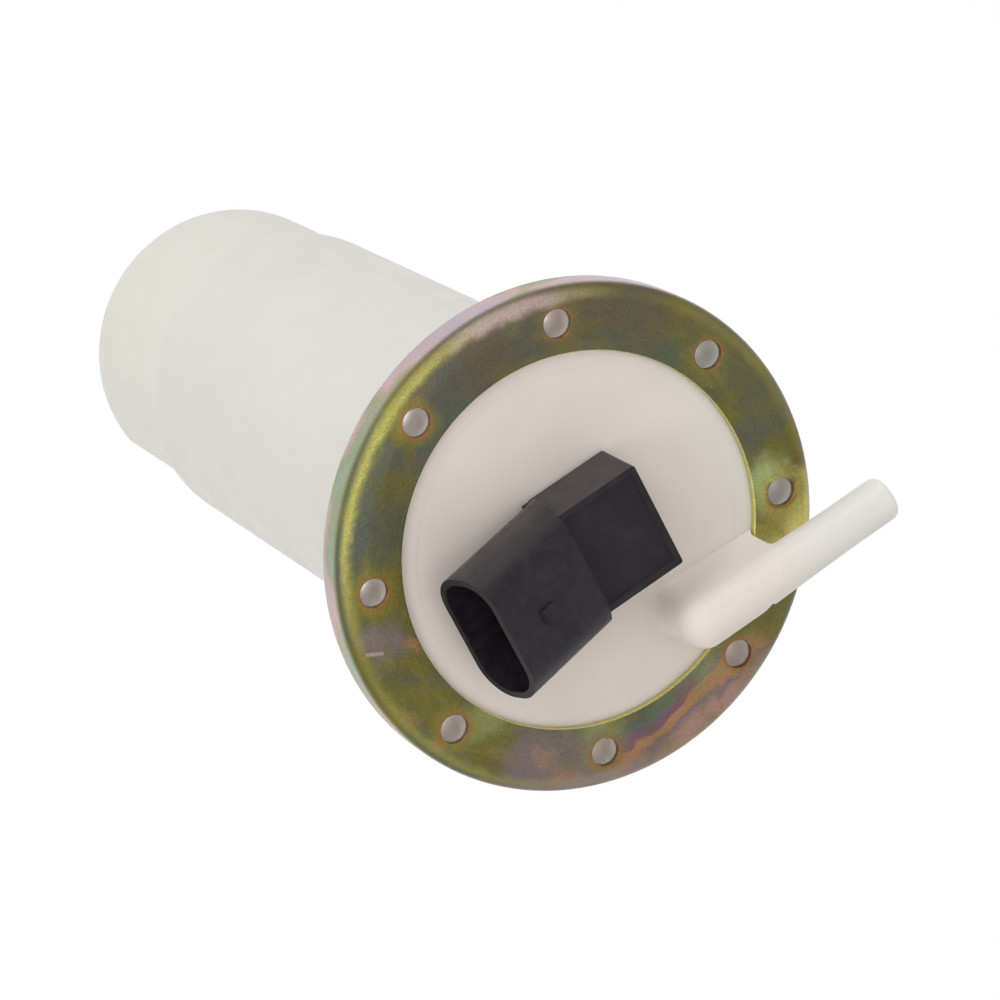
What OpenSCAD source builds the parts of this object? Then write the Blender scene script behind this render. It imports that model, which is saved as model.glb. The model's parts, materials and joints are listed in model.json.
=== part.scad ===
// Fuel tank sending unit: a capped tube that hangs in the tank from a bolted
// clamp ring, with a float on a reed stem, a fuel pickup and a plug socket.
// Millimetres. The origin is on the tube's axis at the foot of the clamp ring,
// +Z points out of the tank and +X along the fuel nipple.

/* [Clamp ring] */
// Width of the lid that shows between the tube's wall and the ring
open_gap = 3.6; // [3:0.1:6]
// Width of the ring from its opening to the bolt circle
ring_inside = 5.85; // [5:0.05:8]
// Width of the ring from the bolt circle to its outer edge
ring_outside = 6.9; // [6.5:0.1:10]
// Sheet thickness of the clamp ring
ring_t = 1.2; // [1:0.1:1.6]
// Outer bend radius where the ring turns down into its rim
ring_bend = 2.6; // [2:0.1:3.2]
// Height of the rim's lower edge above the origin
rim_z = 0.2; // [0.1:0.1:0.8]

/* [Bolt circle] */
// Number of bolt holes
bolt_count = 8; // [6:1:10]
// Diameter of each bolt hole
bolt_hole_d = 5.5; // [5:0.1:6.5]
// Turn of the first bolt hole from the nipple
bolt_turn = 24; // [22:0.5:26]

/* [Lid and gasket] */
// Thickness of the lid's plate
lid_t = 3; // [2.6:0.1:4]
// Height of the lid's plate above the origin
plate_z = 2.8; // [2.6:0.1:3.4]
// How far the lid's flange reaches down from the origin to the tank
seat_drop = 3.5; // [3:0.1:5]
// How far the flange is set in below the ring's rim
flange_in = 1.4; // [1:0.1:1.8]
// Thickness of the clamped gasket
gasket_t = 2.8; // [2:0.1:3]
// Width of the lid's rim between the gasket and the bolt holes
seat_land = 1.6; // [1.2:0.1:2.5]
// Radius of the lid's upper outer corner
lid_round = 1.7; // [1.5:0.1:2.2]
// Width of the fine groove on the lid's face
groove_w = 0.5; // [0.3:0.1:0.8]
// Depth of the fine groove on the lid's face
groove_depth = 0.3; // [0.2:0.1:0.5]
// Length of the lid's spigot inside the tube
spigot_len = 15; // [12:1:20]
// Wall of the lid's spigot
spigot_wall = 2; // [1.6:0.1:2.1]

/* [Tube and cup] */
// Outer diameter of the tube
tube_d = 65.1; // [64:0.1:67]
// Wall of the tube
tube_wall = 1; // [0.8:0.1:1.3]
// Length of the tube below the lid
tube_len = 143; // [125:1:170]
// How far the cup reaches below the tube
cup_reach = 48.1; // [44:0.1:55]
// How far the cup reaches up inside the tube
cup_overlap = 30; // [24:1:36]
// Wall and floor of the cup
cup_wall = 1.6; // [1.3:0.1:1.9]
// Outer radius of the cup's bottom corner
cup_round = 12; // [10:0.5:14]
// How deep the flat side is cut in from the cup's round wall
flat_depth = 5.95; // [4.5:0.05:6.5]
// Direction that the cup's flat side faces
flat_turn = 225; // [220:1:230]

/* [Fuel nipple] */
// Radius of the nipple where the hose sits
nipple_r = 4.45; // [4:0.05:4.8]
// Radius of the nipple's root inside the boss
nipple_root_r = 4.85; // [4.7:0.05:4.85]
// Distance of the nipple's tip from the lid's axis
nipple_reach = 54.6; // [52:0.1:60]
// Straight length that the hose grips
hose_grip = 10; // [8:0.5:12]
// Radius of the nipple's tip
nipple_round = 1.7; // [1:0.1:2]
// Radius of the bore through the nipple
nipple_bore_r = 2.4; // [2:0.1:2.6]
// Gap between the pickup tube, in line with the nipple, and the cup's wall
pickup_gap = 0.745; // [0.5:0.005:1.5]
// Height of the nipple's axis above the lid
nipple_h = 10.7; // [9.5:0.1:12]
// Half width of the arched boss under the nipple
boss_r = 4.9; // [4.8:0.05:5.2]
// Inner end of the boss, from the lid's axis
boss_x = 10.9; // [10:0.1:12]

/* [Plug socket] */
// Length of the socket's box along the nipple direction
box_l = 17.6; // [17:0.1:20]
// Width of the socket's box
box_w = 22.1; // [21:0.1:24]
// Height of the socket's box
box_h = 12.8; // [12:0.1:14]
// Wall of the box
box_wall = 1.2; // [1:0.1:1.5]
// Left edge of the box, from the lid's axis
box_x = -5.4; // [-5.6:0.1:-5.2]
// Middle of the box, sideways
box_y = 1.5; // [1:0.1:2]
// Width of the oval shroud
shroud_w = 26.9; // [25:0.1:29]
// Height of the oval shroud
shroud_h = 15.3; // [14:0.1:16]
// Corner radius of the oval shroud
shroud_round = 6.8; // [5.5:0.1:7]
// Wall of the shroud
shroud_wall = 1.4; // [1.1:0.1:1.8]
// Tilt of the shroud up from the lid
shroud_tilt = 17.5; // [15:0.5:20]
// Length of the shroud from its mouth to the box, along its axis
shroud_len = 23.7; // [22:0.1:26]
// Depth of the cavity that takes the plug
cavity_depth = 15; // [13:0.5:16]
// Distance between the middles of two terminals
blade_pitch = 6; // [5:0.5:6.5]

/* [Level sensor] */
// Outer diameter of the guide stem
stem_d = 10; // [9.5:0.1:11]
// Wall of the guide stem
stem_wall = 1; // [0.8:0.1:1.2]
// Gap between the float and the pickup tube
float_clear = 2.2; // [1.5:0.1:4]
// Height of the float
float_h = 30; // [24:1:36]
// Gap between the float's bore and the stem
float_gap = 0.6; // [0.4:0.1:1]
// Height of the float's lower stop above the cup's floor
low_stop_h = 22; // [20:1:30]
// Distance of the float's upper stop below the lid
top_stop_drop = 20; // [18:1:30]
// Number of reed switches along the stem
reed_count = 8; // [5:1:10]

/* [Fuel pickup] */
// Outer radius of the pickup tube
pickup_r = 3.2; // [2.9:0.05:3.3]
// Wall of the pickup tube
pickup_wall = 0.9; // [0.7:0.1:1]
// Height of the pickup strainer
strainer_h = 9.5; // [8:0.5:12]

/* [Hidden] */
$fn = 96;

white = [0.87, 0.85, 0.82];
black = [0.16, 0.16, 0.17];
zinc = [0.70, 0.66, 0.32];
steel = [0.75, 0.75, 0.77];
brass = [0.83, 0.68, 0.33];
rubber = [0.10, 0.10, 0.10];

// Clearances
eps = 0.01;          // overrun of a cut
press_gap = 0.05;    // one piece pushed into another
slip_gap = 0.1;      // one piece slipped into another
loose_gap = 0.3;     // a piece dropped into its seat
rest_gap = 0.2;      // the float from each of its stops
gasket_gap = 0.9;    // the gasket from the tube, with room for the edge of the tank's hole

// Heights
z_seat = -seat_drop;
z_gasket = z_seat + gasket_t;
z_lid0 = plate_z;
z_lid1 = z_lid0 + lid_t;
z_top = z_lid1 + ring_t;
z_tube = z_lid0 - tube_len;
z_cup = z_tube - cup_reach;
z_floor = z_cup + cup_wall;
z_flat = z_tube - 2;

// Radii, from the tube outwards
tube_r = tube_d / 2;
open_r = tube_r + open_gap;
bolt_r = open_r + ring_inside;
ring_r = bolt_r + ring_outside;
lid_r = ring_r - ring_t - loose_gap;
flange_r = lid_r - flange_in;
channel_r = bolt_r - bolt_hole_d / 2 - seat_land;
gasket_r = tube_r + gasket_gap;
bore_r = tube_r - tube_wall;
spigot_r = bore_r - slip_gap;
cup_r = bore_r - slip_gap;
flat_dist = cup_r - flat_depth;
stem_r = stem_d / 2;
stem_bore_r = stem_r - stem_wall;
pickup_at = cup_r - cup_wall - pickup_gap - pickup_r;
nipple_y = -sqrt(pow(pickup_at, 2) - pow(boss_x, 2));

// Snap lugs that hold the tube on the lid and the cup in the tube
lug_r = 2;
lug_turns = [240, 300, 360];
lug_z_lid = z_lid0 - spigot_len + 2 * lug_r;
lug_z_cup = z_tube + cup_overlap / 2;

// Socket on the lid
box_top = z_lid1 + box_h;
box_floor = 1.6;
pocket_x = box_x + box_wall;
pocket_y = box_y - box_w / 2 + box_wall;
pocket_l = box_l - 2 * box_wall;
pocket_w = box_w - 2 * box_wall;
potting_drop = 0.5;
potting_t = 3;
mouth_x = box_x - shroud_len * cos(shroud_tilt);
mouth_y = 1.2;
mouth_z = z_lid1 + shroud_h / 2 / cos(shroud_tilt) + shroud_len * sin(shroud_tilt) - 0.15;
foot_reach = 1.4;
foot_t = 0.6;
catch_from = 7.5;    // lock catch, back from the mouth
catch_l = 5;
catch_w = 2.8;
catch_h = 0.9;
catch_y = -0.6;

// Terminals
blade_w = 2.2;
blade_t = 0.8;
blade_tip = 6;       // tip, back from the mouth
blade_end = shroud_len + 3.2;

// Screws from below the lid into the box
screw_r = 1.2;
screw_head_r = 2.4;
screw_head_t = 1.6;
screw_len = 8;
post_r = 2.4;
screw_x = box_x + box_l - box_wall - post_r;
screw_y = box_w / 2 - box_wall - post_r;

// Stem and its sockets
socket_wall = 2.8;
socket_len = 11;
stem_top = z_lid1 - 2;
plug_flange_t = 1.5;
plug_len = 6;
stem_bottom = z_floor + plug_flange_t;
cup_socket_h = 7;
seal_section_r = 0.75;
seal_z = z_lid0 - socket_len / 2;
stop_t = 1.2;
stop_r = stem_r + 2.6;
stop_groove = 0.4;
low_stop_z = z_floor + low_stop_h;
top_stop_z = z_lid0 - top_stop_drop;

// Board inside the stem
board_t = 1;
board_w = 6.4;
board_rise = 6;
board_bottom = stem_bottom + plug_len;
board_top = z_lid1 + board_rise;
board_hole_r = stem_bore_r - press_gap;
reed_r = 0.9;
reed_l = 12;
reed_margin_low = 20;
reed_margin_high = 24;
reed_from = board_bottom + reed_margin_low;
reed_to = z_lid0 - reed_margin_high;
reed_pitch = (reed_to - reed_from) / (reed_count - 1);
resistor_size = [0.5, 1.2, 2];
wire_r = 0.5;
wire_pitch = 2;
wire_z = board_top - 1.2;

// Float
float_r = pickup_at - pickup_r - float_clear;
float_bore_r = stem_r + float_gap;
float_z = low_stop_z + stop_t + rest_gap;
float_round = 2.5;
cap_t = 1.4;
cap_w = 7;
cap_r = float_bore_r + cap_w;
magnet_h = 5;
magnet_w = 3.4;
magnet_in = 1.4;
magnet_r0 = float_bore_r + magnet_in;
magnet_r1 = magnet_r0 + magnet_w;
float_travel = top_stop_z - rest_gap - (float_z + float_h);

// Pickup
pickup_bore_r = pickup_r - pickup_wall;
pickup_spigot_r = pickup_bore_r - press_gap;
pickup_spigot_len = 12;
pickup_spigot_wall = 0.8;
riser_r = pickup_spigot_r - pickup_spigot_wall;
strainer_z = z_floor + loose_gap;
strainer_neck = 6;
duct_r = pickup_r + loose_gap;
duct_h = 3;
pickup_bottom = strainer_z + strainer_h + duct_h;

// The strainer's bag fills the sump between the stem's socket and the cup's corner
sump_r0 = stem_r + socket_wall + 0.75;
sump_r1 = cup_r - cup_round + 1.3;
bag_r = 0.41 * (sump_r1 - sump_r0);
bag_y = -(sump_r0 + bag_r);
bag_x = sqrt(pow(sump_r1 - bag_r, 2) - pow(bag_y, 2));

// Inlet on the cup's flat side
inlet_z = (z_tube + z_cup) / 2 + 2;
inlet_w = 8;
inlet_h = 17;
inlet_rim = 3.4;
inlet_t = 1.2;
inlet_peg_r = 1;
mesh_t = 0.3;

// Vent hole near the top of the tube
vent_r = 2;
vent_turn = 330;
vent_drop = 8;
vent_z = z_lid0 - spigot_len - vent_drop;

// Points of an arc about c, from angle a to angle b
function arc(c, r, a, b, n = 10) =
    [for (i = [0:n]) let (t = a + (b - a) * i / n) [c[0] + r * cos(t), c[1] + r * sin(t)]];

// A point on the shroud's axis line: back from the mouth, and sideways
function on_shroud(back, side) = [
    mouth_x + back * cos(shroud_tilt), mouth_y + side, mouth_z - back * sin(shroud_tilt)
];

module tube_shape(r1, r0, z0, z1) {
    translate([0, 0, z0]) difference() {
        cylinder(r = r1, h = z1 - z0);
        translate([0, 0, -eps]) cylinder(r = r0, h = z1 - z0 + 2 * eps);
    }
}

module rounded_rect(l, w, r) {
    union() {
        square([l - 2 * r, w], center = true);
        square([l, w - 2 * r], center = true);
        for (sx = [-1, 1], sy = [-1, 1])
            translate([sx * (l / 2 - r), sy * (w / 2 - r)]) circle(r = r);
    }
}

// A straight bar with round ends between two plan points, its sides a hair inside the ends
module capsule(p, q, r) {
    d = q - p;
    side = r - eps;
    union() {
        translate(p) circle(r = r);
        translate(q) circle(r = r);
        translate(p) rotate(atan2(d[1], d[0])) translate([0, -side]) square([norm(d), 2 * side]);
    }
}

// A thin eight sided rod between two points
module rod(p, q, r) {
    d = q - p;
    translate(p)
        rotate([0, acos(d[2] / norm(d)), atan2(d[1], d[0])])
            cylinder(r = r, h = norm(d), $fn = 8);
}

module bolt_holes() {
    for (i = [0:bolt_count - 1])
        rotate(bolt_turn + i * 360 / bolt_count)
            translate([bolt_r, 0, z_seat - eps])
                cylinder(d = bolt_hole_d, h = z_top - z_seat + 2 * eps, $fn = 48);
}

// Round lugs that stand out sideways, from radius r0 to r1
module side_lugs(r, r0, r1, z) {
    for (turn = lug_turns)
        translate([0, 0, z]) rotate([0, 90, turn])
            translate([0, 0, r0]) cylinder(r = r, h = r1 - r0, $fn = 48);
}

module at_flat() {
    rotate(flat_turn) translate([flat_dist, 0, inlet_z]) children();
}

module at_shroud() {
    translate([mouth_x, mouth_y, mouth_z]) rotate([0, 90 + shroud_tilt, 0]) children();
}

module at_screws() {
    for (side = [-1, 1]) translate([screw_x, box_y + side * screw_y, 0]) children();
}

module clamp_ring() {
    bend = [ring_r - ring_bend, z_top - ring_bend];
    edge = 0.3;
    color(zinc) difference() {
        rotate_extrude($fn = 180) polygon(concat(
            [[open_r, z_lid1]],
            arc([open_r + edge, z_top - edge], edge, 180, 90, 4),
            arc(bend, ring_bend, 90, 0),
            [[ring_r, rim_z], [ring_r - ring_t, rim_z]],
            arc(bend, ring_bend - ring_t, 0, 90)
        ));
        bolt_holes();
    }
}

// Vertical round end, arched top and straight skirt of the boss
module boss() {
    translate([boss_x, nipple_y, z_lid1 - eps]) cylinder(r = boss_r, h = nipple_h + eps);
    translate([boss_x, nipple_y, z_lid1 + nipple_h]) sphere(r = boss_r);
    intersection() {
        union() {
            translate([boss_x, nipple_y, z_lid1 + nipple_h]) rotate([0, 90, 0])
                cylinder(r = boss_r, h = open_r);
            translate([boss_x, nipple_y - boss_r, z_lid1 - eps])
                cube([open_r, 2 * boss_r, nipple_h + eps]);
        }
        cylinder(r = open_r - 2 * loose_gap, h = z_top + 2 * nipple_h);
    }
}

module nipple() {
    straight = hose_grip + nipple_round;
    root_x = open_r * 2 / 3;
    taper_l = nipple_reach - straight - root_x;
    tip = [nipple_r - nipple_round, nipple_reach - root_x - nipple_round];
    translate([root_x, nipple_y, z_lid1 + nipple_h]) rotate([0, 90, 0])
        rotate_extrude() polygon(concat(
            [[0, 0], [nipple_root_r, 0], [nipple_r, taper_l]],
            arc(tip, nipple_round, 0, 90),
            [[0, nipple_reach - root_x]]
        ));
}

module lid() {
    corner = [lid_r - lid_round, z_lid1 - lid_round];
    color(white) difference() {
        union() {
            rotate_extrude($fn = 180) polygon(concat(
                [[0, z_lid0], [gasket_r, z_lid0], [gasket_r, z_gasket], [channel_r, z_gasket]],
                [[channel_r, z_seat], [flange_r, z_seat], [flange_r, 0], [lid_r, rim_z]],
                arc(corner, lid_round, 0, 90), [[0, z_lid1]]
            ));
            tube_shape(spigot_r, spigot_r - spigot_wall, z_lid0 - spigot_len, z_lid0 + eps);
            side_lugs(lug_r, spigot_r - spigot_wall / 2, tube_r - loose_gap, lug_z_lid);
            translate([0, 0, z_lid0 - socket_len])
                cylinder(r = stem_r + socket_wall, h = socket_len + eps);
            translate([boss_x, nipple_y, z_lid0 - pickup_spigot_len])
                cylinder(r = pickup_spigot_r, h = pickup_spigot_len + eps);
            boss();
            nipple();
        }
        bolt_holes();
        // fine groove above the tube's wall
        tube_shape(tube_r + groove_w / 2, tube_r - groove_w / 2, z_lid1 - groove_depth, z_lid1 + eps);
        // stem socket, its seal groove and the way through for the board
        translate([0, 0, z_lid0 - socket_len - eps])
            cylinder(r = stem_r + press_gap, h = stem_top - z_lid0 + socket_len + eps);
        translate([0, 0, seal_z - seal_section_r - slip_gap])
            cylinder(r = stem_r + 2 * seal_section_r + 2 * slip_gap, h = 2 * (seal_section_r + slip_gap));
        translate([0, 0, stem_top - eps]) cylinder(r = board_hole_r, h = z_lid1 - stem_top + 2 * eps);
        // fuel way: up the pickup spigot, then out along the nipple
        translate([boss_x, nipple_y, z_lid0 - pickup_spigot_len - eps])
            cylinder(r = riser_r, h = pickup_spigot_len + lid_t + nipple_h + eps);
        translate([boss_x, nipple_y, z_lid1 + nipple_h]) sphere(r = nipple_bore_r);
        translate([boss_x, nipple_y, z_lid1 + nipple_h]) rotate([0, 90, 0])
            cylinder(r = nipple_bore_r, h = nipple_reach);
        at_screws() translate([0, 0, z_lid0 - eps])
            cylinder(r = screw_r + slip_gap, h = lid_t + 2 * eps, $fn = 32);
    }
}

module flange_gasket() {
    color(rubber) tube_shape(channel_r - slip_gap, gasket_r, z_seat, z_gasket);
}

module outer_tube() {
    color(white) difference() {
        tube_shape(tube_r, bore_r, z_tube, z_lid0);
        side_lugs(lug_r + loose_gap, bore_r - 1, tube_r + 1, lug_z_lid);
        side_lugs(lug_r + loose_gap, bore_r - 1, tube_r + 1, lug_z_cup);
        translate([0, 0, vent_z]) rotate([0, 90, vent_turn])
            cylinder(r = vent_r, h = tube_r + 1, $fn = 48);
    }
}

// Solid round form with a rounded bottom corner and one flat side
module cup_form(r, round_r, z0, z1, flat_at, flat_top) {
    difference() {
        rotate_extrude($fn = 180) polygon(concat(
            [[0, z0]], arc([r - round_r, z0 + round_r], round_r, -90, 0, 16), [[r, z1], [0, z1]]
        ));
        rotate(flat_turn) translate([flat_at, -r, z0 - 1]) cube([r, 2 * r, flat_top - z0 + 1]);
    }
}

module end_cup() {
    color(white) difference() {
        union() {
            difference() {
                cup_form(cup_r, cup_round, z_cup, z_tube + cup_overlap, flat_dist, z_flat);
                cup_form(cup_r - cup_wall, cup_round - cup_wall, z_floor, z_tube + cup_overlap + eps,
                    flat_dist - cup_wall, z_flat + cup_wall);
            }
            side_lugs(lug_r, cup_r - cup_wall / 2, tube_r - loose_gap, lug_z_cup);
            tube_shape(stem_r + socket_wall, stem_r + press_gap, z_floor - eps, z_floor + cup_socket_h);
        }
        at_flat() cube([4 * cup_wall, inlet_w, inlet_h], center = true);
        inlet_pegs(inlet_peg_r + slip_gap, 2 * cup_wall);
    }
}

// Pegs above and below the inlet, from outside the flat wall inwards
module inlet_pegs(r, len) {
    for (side = [-1, 1])
        at_flat() translate([-len, 0, side * (inlet_h + inlet_rim) / 2]) rotate([0, 90, 0])
            cylinder(r = r, h = len + eps, $fn = 32);
}

module inlet_frame() {
    color(black) union() {
        at_flat() translate([inlet_t / 2, 0, 0]) difference() {
            cube([inlet_t, inlet_w + 2 * inlet_rim, inlet_h + 2 * inlet_rim], center = true);
            cube([2 * inlet_t, inlet_w, inlet_h], center = true);
        }
        inlet_pegs(inlet_peg_r, cup_wall);
    }
}

module inlet_mesh() {
    color(steel) at_flat() translate([inlet_t / 2, 0, 0])
        cube([mesh_t, inlet_w, inlet_h], center = true);
}

module shroud_shape(shrink, from, len) {
    at_shroud() translate([0, 0, from]) linear_extrude(len)
        rounded_rect(shroud_h - 2 * shrink, shroud_w - 2 * shrink, shroud_round - shrink);
}

module lock_catch() {
    at_shroud() translate([-shroud_h / 2, catch_y, catch_from]) rotate([90, 0, 0])
        linear_extrude(catch_w, center = true)
            polygon([[1, 0], [-catch_h, 0.6], [-catch_h, catch_l - 1.6], [1, catch_l]]);
}

module blade_slots() {
    for (side = [-1, 0, 1]) at_shroud() translate([-blade_t / 2, side * blade_pitch - blade_w / 2, blade_tip])
        cube([blade_t, blade_w, blade_end - blade_tip]);
}

module connector_housing() {
    reach = 60;
    color(black) difference() {
        union() {
            translate([box_x + box_l / 2, box_y, z_lid1]) linear_extrude(box_h)
                rounded_rect(box_l, box_w, 0.6);
            intersection() {
                union() {
                    shroud_shape(0, 0, shroud_len + shroud_h);
                    lock_catch();
                }
                translate([box_x + 0.2 - reach, -reach / 2, z_lid1]) cube([reach, reach, reach]);
            }
            translate([box_x - foot_reach, box_y - box_w / 2 + 0.2, z_lid1])
                cube([foot_reach + 1, box_w - 0.4, foot_t]);
        }
        shroud_shape(shroud_wall, -1, cavity_depth + 1);
        difference() {
            translate([pocket_x, pocket_y, z_lid1 + box_floor]) cube([pocket_l, pocket_w, box_h]);
            at_screws() translate([0, 0, z_lid1]) cylinder(r = post_r, h = screw_len, $fn = 48);
        }
        blade_slots();
        translate([0, 0, z_lid1 - eps]) cylinder(r = board_hole_r, h = box_floor + 2 * eps);
        tube_shape(board_hole_r + 1.2, board_hole_r + 0.3, z_lid1 - eps, z_lid1 + 0.8);
        at_screws() translate([0, 0, z_lid1 - eps]) cylinder(r = screw_r, h = screw_len - 1, $fn = 32);
    }
}

module connector_potting() {
    color(black)
        translate([pocket_x, pocket_y, box_top - potting_drop - potting_t])
            cube([pocket_l, pocket_w, potting_t]);
}

module connector_seal() {
    color(rubber)
        tube_shape(board_hole_r + 1.15, board_hole_r + 0.35, z_lid1, z_lid1 + 0.75);
}

module connector_screws() {
    color(steel) at_screws() union() {
        translate([0, 0, z_lid0 - screw_head_t]) cylinder(r = screw_head_r, h = screw_head_t, $fn = 32);
        translate([0, 0, z_lid0 - eps])
            cylinder(r = screw_r - press_gap, h = lid_t + screw_len - 2, $fn = 32);
    }
}

module blade(side) {
    color(brass) at_shroud()
        translate([-blade_t / 2, side * blade_pitch - blade_w / 2, blade_tip])
            cube([blade_t, blade_w, blade_end - blade_tip]);
}

module terminal_signal() {
    blade(-1);
}

module terminal_ground() {
    blade(0);
}

module terminal_warning() {
    blade(1);
}

// Each lead leaves its terminal straight, then bends to its pad on the board
module lead_wires() {
    color("red") for (side = [-1, 0, 1]) {
        start = on_shroud(blade_end, side * blade_pitch);
        bend = on_shroud(blade_end + 1, side * blade_pitch);
        pad = [-board_t / 2, side * wire_pitch, wire_z];
        lift = pad - [1, 0, 0];
        union() {
            rod(start, bend, wire_r);
            rod(bend, lift, wire_r);
            rod(lift, pad, wire_r);
        }
    }
}

module guide_stem() {
    color(steel) difference() {
        tube_shape(stem_r, stem_bore_r, stem_bottom, stem_top);
        for (z = [low_stop_z, top_stop_z])
            tube_shape(stem_r + 1, stem_r - stop_groove, z - slip_gap / 2, z + stop_t + slip_gap / 2);
    }
}

module stem_seal() {
    color(rubber) translate([0, 0, seal_z]) rotate_extrude()
        translate([stem_r + slip_gap + seal_section_r, 0]) circle(r = seal_section_r, $fn = 32);
}

module stem_plug() {
    color(black) union() {
        translate([0, 0, z_floor]) cylinder(r = stem_r, h = plug_flange_t);
        translate([0, 0, z_floor]) cylinder(r = stem_bore_r - press_gap, h = plug_flange_t + plug_len);
    }
}

module sensor_board() {
    color("green") translate([-board_t / 2, -board_w / 2, board_bottom])
        cube([board_t, board_w, board_top - board_bottom]);
}

module reed_switches() {
    color("lightblue") for (i = [0:reed_count - 1])
        translate([board_t / 2 + reed_r + press_gap, 0, reed_from + i * reed_pitch])
            cylinder(r = reed_r, h = reed_l, center = true, $fn = 24);
}

module resistors() {
    color("black") for (i = [0:reed_count - 1])
        translate([-board_t / 2 - resistor_size[0] / 2, 0, reed_from + i * reed_pitch])
            cube(resistor_size, center = true);
}

// Snap ring with an open side, in a groove of the stem
module stop_ring(z) {
    color(steel) difference() {
        tube_shape(stop_r, stem_r - stop_groove + press_gap, z, z + stop_t);
        translate([0, -stem_r * 0.6, z - eps]) cube([2 * stop_r, stem_r * 1.2, stop_t + 2 * eps]);
    }
}

module upper_stop() {
    stop_ring(top_stop_z);
}

module lower_stop() {
    stop_ring(low_stop_z);
}

module float_body() {
    z1 = float_z + float_h;
    low = [float_r - float_round, float_z + float_round];
    high = [float_r - float_round, z1 - float_round];
    color(rubber) difference() {
        rotate_extrude() polygon(concat(
            [[float_bore_r, float_z]], arc(low, float_round, -90, 0, 8),
            arc(high, float_round, 0, 90, 8), [[float_bore_r, z1]]
        ));
        tube_shape(magnet_r1 + slip_gap, magnet_r0 - slip_gap, z1 - cap_t - magnet_h, z1 + eps);
        tube_shape(cap_r + slip_gap, 0.1, z1 - cap_t, z1 + eps);
    }
}

module float_magnet() {
    z1 = float_z + float_h - cap_t;
    color(steel) tube_shape(magnet_r1, magnet_r0, z1 - magnet_h, z1);
}

module float_cap() {
    z1 = float_z + float_h;
    color(white) tube_shape(cap_r, float_bore_r, z1 - cap_t, z1);
}

module pickup_tube() {
    color(white) translate([boss_x, nipple_y, 0])
        tube_shape(pickup_r, pickup_bore_r, pickup_bottom, z_lid0);
}

// A flat bag on the floor, and a duct on it that leads to the pickup tube
module pickup_strainer() {
    inlet = [boss_x, nipple_y];
    color("tan") difference() {
        union() {
            translate([0, 0, strainer_z]) linear_extrude(strainer_h)
                capsule([-bag_x, bag_y], [bag_x, bag_y], bag_r);
            translate([0, 0, strainer_z + strainer_h - eps]) linear_extrude(duct_h + eps)
                capsule([bag_x, bag_y], inlet, duct_r);
            translate([inlet[0], inlet[1], pickup_bottom - eps])
                cylinder(r = pickup_spigot_r, h = strainer_neck + eps, $fn = 48);
        }
        translate([inlet[0], inlet[1], pickup_bottom - duct_h / 2])
            cylinder(r = riser_r, h = duct_h + strainer_neck, $fn = 48);
    }
}

clamp_ring();
lid();
flange_gasket();
outer_tube();
end_cup();
connector_housing();
connector_potting();
connector_seal();
connector_screws();
terminal_signal();
terminal_ground();
terminal_warning();
lead_wires();
guide_stem();
stem_seal();
stem_plug();
sensor_board();
reed_switches();
resistors();
upper_stop();
lower_stop();
float_body();
float_magnet();
float_cap();
pickup_tube();
pickup_strainer();
inlet_frame();
inlet_mesh();
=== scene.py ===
"""Dresses a fuel tank sending unit: zinc ring, pale lid and tube, black plug socket and what is inside.

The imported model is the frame. Each operator makes or finishes one group of pieces, in metres, where the
frame has them. Run as a script, it makes the whole scene.
"""

import json
import math

import bmesh
import bpy
from mathutils import Matrix, Vector


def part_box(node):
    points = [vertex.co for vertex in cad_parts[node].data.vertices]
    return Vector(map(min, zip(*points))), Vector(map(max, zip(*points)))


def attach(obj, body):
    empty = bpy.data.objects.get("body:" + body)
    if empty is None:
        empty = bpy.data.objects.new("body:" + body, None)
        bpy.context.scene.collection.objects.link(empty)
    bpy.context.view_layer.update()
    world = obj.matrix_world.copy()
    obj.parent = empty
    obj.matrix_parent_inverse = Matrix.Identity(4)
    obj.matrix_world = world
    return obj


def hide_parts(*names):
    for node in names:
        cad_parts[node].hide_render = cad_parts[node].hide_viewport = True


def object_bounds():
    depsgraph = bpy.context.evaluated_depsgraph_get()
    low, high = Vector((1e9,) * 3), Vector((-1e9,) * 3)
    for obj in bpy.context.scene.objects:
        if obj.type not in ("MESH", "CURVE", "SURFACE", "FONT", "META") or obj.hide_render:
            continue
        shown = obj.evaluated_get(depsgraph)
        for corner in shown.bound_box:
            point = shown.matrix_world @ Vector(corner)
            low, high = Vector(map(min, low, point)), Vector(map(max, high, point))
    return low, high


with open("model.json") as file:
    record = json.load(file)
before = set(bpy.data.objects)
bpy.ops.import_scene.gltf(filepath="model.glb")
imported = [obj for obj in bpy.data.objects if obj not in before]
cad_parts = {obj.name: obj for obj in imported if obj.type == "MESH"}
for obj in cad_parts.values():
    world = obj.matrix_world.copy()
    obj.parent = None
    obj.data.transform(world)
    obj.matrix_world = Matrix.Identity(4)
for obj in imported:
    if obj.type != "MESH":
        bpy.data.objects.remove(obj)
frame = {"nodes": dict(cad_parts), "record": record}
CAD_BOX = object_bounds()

bl_info = {
    "name": "Fuel tank sending unit",
    "version": (1, 0, 0),
    "blender": (4, 5, 0),
    "location": "View3D > Sidebar > Sender",
    "description": "Makes the finished pieces of a fuel tank sending unit round its packed frame",
    "category": "Object",
}

MM = 0.001
SENDER = "sender"
# corners this near to one another are merged, and corners this near to a cut are taken for part of it
WELD = 0.002 * MM
NEAR_CUT = 0.0001 * MM
# faces that meet at less than the first angle are joined, and edges over the second are sharp
FLAT_ANGLE = math.radians(0.6)
SHARP_ANGLE = math.radians(38)

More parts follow.
